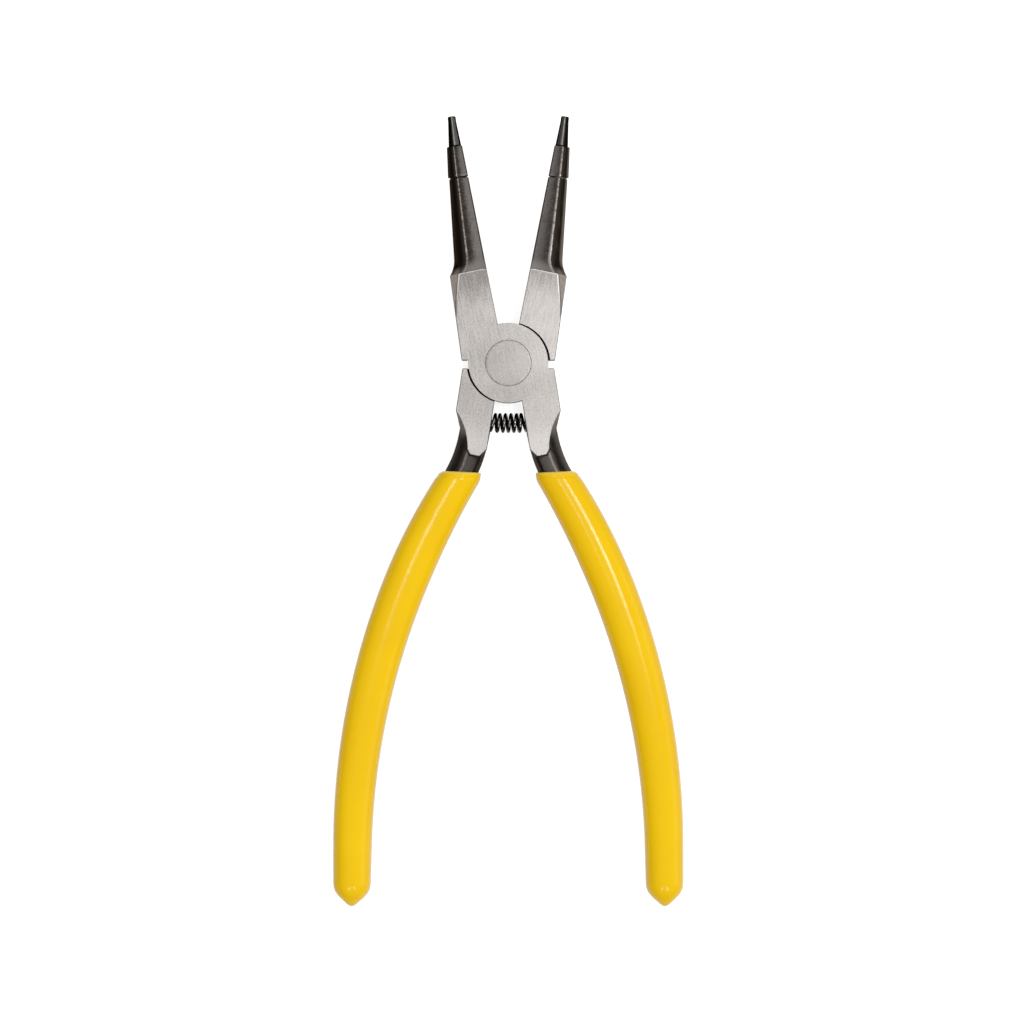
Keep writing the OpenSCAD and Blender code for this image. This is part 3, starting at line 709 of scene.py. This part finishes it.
def pinRings(seat):
    # a turned profile of radius against distance, carried round the tip's leaning axis
    s, n = tipShape, noseShape
    taper = np.linspace(0, 1, s["pinRows"])
    arc = np.linspace(0, pi / 2, s["arcRows"])
    cone = seat + s["pinFit"] + (s["pin"] - s["land"]) * taper
    end = seat + s["pin"] - s["tipBreak"] + s["tipBreak"] * np.sin(arc)
    along = np.concatenate([[seat - s["sink"]], cone, end])[:, None]
    cone = s["rootRadius"] + (s["tipRadius"] - s["rootRadius"]) * taper
    end = s["tipRadius"] - s["tipBreak"] * (1 - np.cos(arc))
    radius = np.concatenate([[s["rootRadius"]], cone, end])[:, None]
    turn = circle(s["pinColumns"])
    across, z = radius * np.cos(turn), radius * np.sin(turn)
    lean = radians(n["lean"])
    middle = -n["flatX"] - n["endWidth"] / 2
    x = middle + across * cos(lean) + along * sin(lean)
    y = n["end"] - across * sin(lean) + along * cos(lean)
    lay = np.stack(np.broadcast_arrays(np.cos(turn), np.sin(turn), along), -1)
    return np.stack([x, y, z], -1), lay


pinSeat = tipShape["groove"] + tipShape["collar"]
pinSteel = pinFinish("pinSteel", pinSeat, pinSeat + tipShape["pin"])
for side, half in (("left", "front_half"), ("right", "rear_half")):
    rings, lay = collarRings()
    name = side + "TipCollar"
    mesh = skin(name, place(rings, half), lay)
    addPiece(name, mesh, noseSteel, "black_steel", half, side + "_tip_collar")
    rings, lay = pinRings(pinSeat)
    name = side + "TipPin"
    mesh = skin(name, place(rings, half), lay)
    addPiece(name, mesh, pinSteel, "black_steel", half, side + "_tip_pin")
print("tips")

# Rivet

rivetShape = {
    "headRadius": 5.25, "shankRadius": 4.0, "shankFit": 0.02, "edge": 0.06,
    "firstRadius": 0.3, "headRows": 12, "edgeRows": 5, "columns": 128, "sharp": 60,
    "grain": 0.75, "tone": 0.5,
}


def rivetRings():
    # radius against height: a flat head, its rounded edge, a countersink and the shank, and the same below
    s = rivetShape
    half = pose["midHeight"]
    arc = np.linspace(0, pi / 2, s["edgeRows"])
    neck = half - (s["headRadius"] - s["shankRadius"])
    flat = s["headRadius"] - 2 * s["edge"]
    head = np.linspace(s["firstRadius"], flat, s["headRows"])[:-1]
    radius = np.concatenate([head, flat + s["edge"] * np.sin(arc), [s["shankRadius"] - s["shankFit"]]])
    height = np.concatenate([half + 0 * head, half - s["edge"] * (1 - np.cos(arc)), [neck]])
    radius = np.concatenate([radius, radius[::-1]])[:, None]
    height = np.concatenate([height, -height[::-1]])[:, None]
    turn = circle(s["columns"])
    return np.stack([radius * np.cos(turn), radius * np.sin(turn), height + 0 * turn], -1)


rivetSteel = leverFinish("rivetSteel", 1, rivetShape["grain"], rivetShape["tone"])
addPiece("pivotRivet", skin("pivotRivet", place(rivetRings(), "front_half")), rivetSteel, "ground_steel",
         "front_half", "pivot_rivet", sharp=rivetShape["sharp"])
print("rivet")

# Spring

springShape = {
    "diameter": 4.6, "wire": 0.75, "openCoils": 10, "endCoils": 1, "endPitch": 0.81, "endFit": 0.05,
    "drop": 13.8, "mouthX": 1.2095, "socketDepth": 4.0, "bend": 1.8, "sag": 0.15,
    "midCoils": 6, "midPitch": 1.25, "axisSteps": 800, "stepsEachCoil": 48, "wirePoints": 14,
    "bendLoss": 0.186,  # half the mean square of a smooth step
}


def springRings():
    # a helix of wire about an axis that is straight in each socket, turns as a smooth step before each
    # mouth, and is straight between; the axis is the running sum of its direction.
    # Gives the middle of the right socket's floor too
    s = springShape
    half = radians(pose["openHalf"])
    mouth = np.array(spun(s["mouthX"], -s["drop"], half))
    straight = mouth[0] - s["bend"] * (1 - s["bendLoss"] * half ** 2)
    halfLength = straight + s["bend"] + s["socketDepth"] - s["endFit"]
    reach = np.linspace(0, halfLength, s["axisSteps"])
    q = np.clip((reach - straight) / s["bend"], 0, 1)
    slope = half * q * q * (3 - 2 * q)
    between = (slope[1:] + slope[:-1]) / 2
    sideways = np.concatenate([[0], np.cumsum(np.cos(between))]) * reach[1]
    upwards = np.concatenate([[0], np.cumsum(np.sin(between))]) * reach[1]
    low = mouth[1] - np.interp(straight + s["bend"], reach, upwards) - s["sag"]
    # coils against the way along the axis: closed ends, wider coils beside them and the middle ones
    sideCoils = (s["openCoils"] - s["midCoils"]) / 2
    closed, midWay = s["endCoils"] * s["endPitch"], s["midCoils"] * s["midPitch"]
    sideWay = (2 * halfLength - s["wire"] - 2 * closed - midWay) / 2
    coilKnots = np.cumsum([0, s["endCoils"], sideCoils, s["midCoils"], sideCoils, s["endCoils"]])
    wayKnots = np.cumsum([0, closed, sideWay, midWay, sideWay, closed])
    coils = s["openCoils"] + 2 * s["endCoils"]
    n = np.linspace(0, coils, coils * s["stepsEachCoil"] + 1)
    way = np.interp(n, coilKnots, wayKnots) + s["wire"] / 2 - halfLength
    side, far = np.sign(way), np.abs(way)
    a = side * np.interp(far, reach, slope)
    zero = 0 * a
    axisX, axisY = side * np.interp(far, reach, sideways), low + np.interp(far, reach, upwards)
    axis = np.stack([axisX, axisY, zero], -1)
    spin = 2 * pi * n
    out = np.stack([np.cos(spin) * np.sin(a), -np.cos(spin) * np.cos(a), np.sin(spin)], -1)
    along = np.stack([np.cos(a), np.sin(a), zero], -1)
    centre = axis + (s["diameter"] - s["wire"]) / 2 * out
    t = circle(s["wirePoints"])
    around = np.cos(t)[..., None] * out[:, None] + np.sin(t)[..., None] * along[:, None]
    rings = centre[:, None] + s["wire"] / 2 * around
    lay = np.stack(np.broadcast_arrays(np.cos(t), np.sin(t), n[:, None]), -1)
    seat = mouth + s["socketDepth"] * np.array([cos(half), sin(half)])
    return (rings + np.array([0, 0, pose["midHeight"]])) / perMetre, lay, seat / perMetre


rings, lay, seat = springRings()
mesh = skin("returnSpring", rings, lay)
spring = addPiece("returnSpring", mesh, wireFinish("springWire"), "spring_steel", None, "return_spring")
-seat[0]
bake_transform(spring)
print("spring")

# Grips

gripShape = {
    "tangWidth": 7.25, "tangEndWidth": 5.7, "swellAt": 0.25, "swellPower": 1.5,
    "wall": 1.4, "rimWall": 1.0, "drain": 26.0, "thick": 10.0, "power": 2.5, "crestOut": 0.05,
    "top": 24.8, "topLine": 0.3, "end": 128.4, "columns": 96, "bodyRows": 190, "bodyPower": 1.3,
    "sharp": 60,
    "rim": 0.8, "rimRows": 8, "rimTilt": 2.5, "tilt": 13.0, "rimInner": 6.2, "rimSoft": 7,
    "rimUp": 0.02, "rimIn": 0.6, "lip": 0.1, "lipAt": 1.2, "lipWidth": 0.25,
    "nib": 5.6, "nibRows": 27, "nibPower": 1.7, "nibLast": 0.02,
    "nibEnd": 0.12, "nibSlope": 0.28, "nibSoft": 5, "tipRound": 0.45,
}


def handleLine(y):
    # the handle's centre line and its across angle at height y, from the arcs of the neck and the bow
    s = handle
    turn, tail = radians(s["neckTurn"]), radians(s["tail"])
    neck = np.array([s["neckX"] + s["neckRadius"], -s["neckDrop"]])
    bow = neck - (s["neckRadius"] + s["bowRadius"]) * np.array([cos(turn), sin(turn)])
    join = bow[1] + s["bowRadius"] * sin(turn)
    inNeck = np.arcsin(np.clip((neck[1] - y) / s["neckRadius"], 0, 1))
    inBow = np.maximum(np.arcsin(np.clip((y - bow[1]) / s["bowRadius"], -1, 1)), -tail)
    past = np.minimum(y - bow[1] + s["bowRadius"] * sin(tail), 0)
    neckX = neck[0] - s["neckRadius"] * np.cos(inNeck)
    bowX = bow[0] + s["bowRadius"] * np.cos(inBow) + past * tan(tail)
    return np.where(y > join, neckX, bowX), np.where(y > join, inNeck, inBow)


def gripRings():
    # superellipses square to the handle, tilted to a level rim at the top, with their crest pushed outward;
    # the rim is a quarter round that turns in over the tang, and the end draws in to a nib under a dome
    s = gripShape
    half = radians(pose["openHalf"])
    topX = handleLine(-s["top"] - s["topLine"])[0]
    dip = (-s["top"] - topX * sin(half)) / cos(half)
    arc = np.linspace(0, pi / 2, s["rimRows"] + 1)[1:]
    bodyTop, bodyEnd = dip - s["rim"], s["nib"] - s["end"]
    body = bodyTop + (bodyEnd - bodyTop) * np.linspace(0, 1, s["bodyRows"])[1:] ** s["bodyPower"]
    last = (1 - np.linspace(0, 1, s["nibRows"] + 1)[1:]) ** s["nibPower"]
    nibLeft = s["nibLast"] + (s["nib"] - s["nibLast"]) * last
    rim = dip - s["rim"] * (1 - np.cos(arc))
    y = np.concatenate([[dip + s["rimUp"], dip], rim, body, nibLeft - s["end"]])
    onRim = np.concatenate([[s["rimWall"] + s["rimIn"], s["rim"]], s["rim"] * (1 - np.sin(arc))])
    inset = np.concatenate([onRim, np.zeros(len(y) - len(onRim))])
    # a faint hollow under the rim, where the dip's edge drew back
    inset = inset + s["lip"] * np.exp(-((dip - s["lipAt"] - y) / s["lipWidth"]) ** 2)
    # the nib's share of the full section: a cone that a soft minimum rounds into the body, and a round tip
    soft = s["nibSoft"]
    cone = -np.log(np.exp(-soft * (s["nibEnd"] + s["nibSlope"] * nibLeft)) + np.exp(-float(soft))) / soft
    tip = np.sqrt(1 - np.clip(1 - nibLeft / s["tipRound"], 0, 1) ** 2)
    full = np.ones(len(y) - s["nibRows"])
    shrink = np.concatenate([full, np.minimum(cone * tip / cone[0], 1)])
    dome = np.concatenate([full, np.sqrt(1 - (1 - nibLeft / s["nib"]) ** 2)])
    x, angle = handleLine(y)
    share = np.clip((dip - y) / (dip + s["end"]), 0, None)
    swell = (np.abs(share - s["swellAt"]) / (1 - s["swellAt"])) ** s["swellPower"]
    width = s["tangWidth"] - (s["tangWidth"] - s["tangEndWidth"]) * swell
    thin = np.clip(1 - np.clip(dip - y, 0, None) / s["drain"], 0, None) ** 2
    wall = s["wall"] + (s["rimWall"] - s["wall"]) * thin
    level = radians(s["rimTilt"]) - half
    lean = level + (angle - level) * np.clip((dip - s["rim"] - y) / s["tilt"], 0, 1)
    halfWidth = shrink * ((width / 2 + wall) / np.cos(angle - lean) - inset)
    halfThick = dome * (s["thick"] / 2 - inset)
    t = circle(s["columns"])
    ovalX, ovalZ = (np.sign(v) * np.abs(v) ** (2 / s["power"]) for v in (np.cos(t), np.sin(t)))
    across = halfWidth[:, None] * (ovalX + s["crestOut"] * ovalZ ** 2)
    ringX = x[:, None] + across * np.cos(lean)[:, None]
    ringY = y[:, None] + across * np.sin(lean)[:, None]
    # the rim's inner end is held back to a line along Y at rest by a soft maximum
    restX = ringX * cos(half) - ringY * sin(half)
    ringX = ringX + np.log1p(np.exp(s["rimSoft"] * (s["rimInner"] - restX))) / s["rimSoft"]
    rings = np.stack([ringX, ringY, halfThick[:, None] * ovalZ], -1)
    # rise is smaller down the sides and towards the nib's end; the dip's painted shade follows it
    rise = ovalZ * (0.5 + 0.5 * dome[:, None])
    return rings, np.stack(np.broadcast_arrays(ovalX, rise, share[:, None]), -1)


yellowDip = dipFinish("yellowDip")
grips = (("rightGrip", "front_half", "right_grip"), ("leftGrip", "rear_half", "left_grip"))
for name, half, node in grips:
    rings, lay = gripRings()
    mesh = skin(name, place(rings, half), lay)
    addPiece(name, mesh, yellowDip, "yellow_dip", half, node, sharp=gripShape["sharp"])
print("grips")

# Floor, light and camera

white = (1.0, 1.0, 1.0, 1.0)
studio = {
    "floorHalf": 4, "floorShade": 0.56, "floorGlow": 0.8,
    "zenith": 0.74, "horizon": 0.33, "skyUp": (0.15, 0.95), "fromRight": 0.25,
    "lens": 300.0, "sensor": 36.0, "clipEnd": 20.0,
    "frameWidth": 0.2333, "centreX": 0.00084, "centreY": -0.0339, "sharpHeight": 0.006,
}
# each lamp's place, its size across and along, its power, and the point that it faces
lamps = {
    "leftStrip": ((-0.034, -0.02, 0.65), (0.06, 0.05), 0.19, (0, -0.02, 0)),
    "rightStrip": ((0.13, 0.0125, 0.65), (0.08, 0.086), 0.65, (0, 0.0125, 0)),
    "leftSpot": ((-0.1, -0.44, 0.6), (0.055, 0.17), 0.42, (0, -0.12, 0)),
    "rightSpot": ((0.1, -0.44, 0.6), (0.055, 0.17), 0.42, (0, -0.12, 0)),
    "backStrip": ((0, 0.55, 0.5), (0.3, 0.1), 0.6, (0, 0, 0)),
    "rightFill": ((0.8, -0.03, 0.35), (0.6, 0.6), 1.5, (0, -0.03, 0)),
}


def seenDirectly(f):
    # 1 for rays that show the background: from the camera, mirrors or glass
    ray = f.node("ShaderNodeLightPath", None, None, "Is Camera Ray")
    seen = ray + ray.other("Is Glossy Ray") + ray.other("Is Transmission Ray")
    return f.node("ShaderNodeMath", {"operation": "MINIMUM"}, {0: seen, 1: 1.0})


def floorFinish(name):
    # pale floor; where it is seen it also glows, so it is white but for the object's shadow
    f = Finish(name)
    grey = (studio["floorShade"],) * 3 + (1.0,)
    matt = f.node("ShaderNodeBsdfDiffuse", None, {"Color": grey})
    strength = seenDirectly(f) * studio["floorGlow"]
    glow = f.node("ShaderNodeEmission", None, {"Color": white, "Strength": strength})
    both = f.node("ShaderNodeAddShader", None, {0: matt, 1: glow})
    f.node("ShaderNodeOutputMaterial", None, {"Surface": both})
    return f.material


far = studio["floorHalf"]
floorMesh = bpy.data.meshes.new("floor")
floorMesh.from_pydata([(-far, -far, 0), (far, -far, 0), (far, far, 0), (-far, far, 0)], [], [(0, 1, 2, 3)])
floorMesh.materials.append(floorFinish("paleFloor"))
floor = bpy.data.objects.new("floor", floorMesh)
bpy.context.scene.collection.objects.link(floor)

world = bpy.data.worlds.new("studio")
world.use_nodes = True
bpy.context.scene.world = world


class Sky(Finish):
    # the world's nodes, by the same method
    def __init__(self):
        self.tree = world.node_tree
        self.tree.nodes.clear()


sky = Sky()
# brighter overhead than at the horizon, as under a big soft box, and brighter from the right
right, _, up = sky.split(sky.node("ShaderNodeTexCoord", output="Generated"))
level = sky.ease(up, *studio["skyUp"]) * (studio["zenith"] - studio["horizon"]) + studio["horizon"]
level = level * (right * studio["fromRight"] + 1.0)
background = sky.node("ShaderNodeBackground", None, {"Color": white, "Strength": level})
sky.node("ShaderNodeOutputWorld", None, {"Surface": background})

for name, (spot, size, power, aim) in lamps.items():
    lamp = bpy.data.lights.new(name, "AREA")
    lamp.shape = "RECTANGLE"
    lamp.size, lamp.size_y = size
    lamp.energy = power
    strip = bpy.data.objects.new(name, lamp)
    strip.location = spot
    strip.rotation_euler = (Vector(aim) - Vector(spot)).to_track_quat("-Z", "Y").to_euler()
    bpy.context.scene.collection.objects.link(strip)

eye = bpy.data.cameras.new("eye")
eye.lens, eye.sensor_width = studio["lens"], studio["sensor"]
eye.clip_end = studio["clipEnd"]
camera = bpy.data.objects.new("eye", eye)
eyeHeight = studio["sharpHeight"] + studio["frameWidth"] * studio["lens"] / studio["sensor"]
camera.location = (studio["centreX"], studio["centreY"], eyeHeight)
bpy.context.scene.collection.objects.link(camera)
bpy.context.scene.camera = camera
bpy.context.scene.view_settings.view_transform = "Standard"
print("studio")
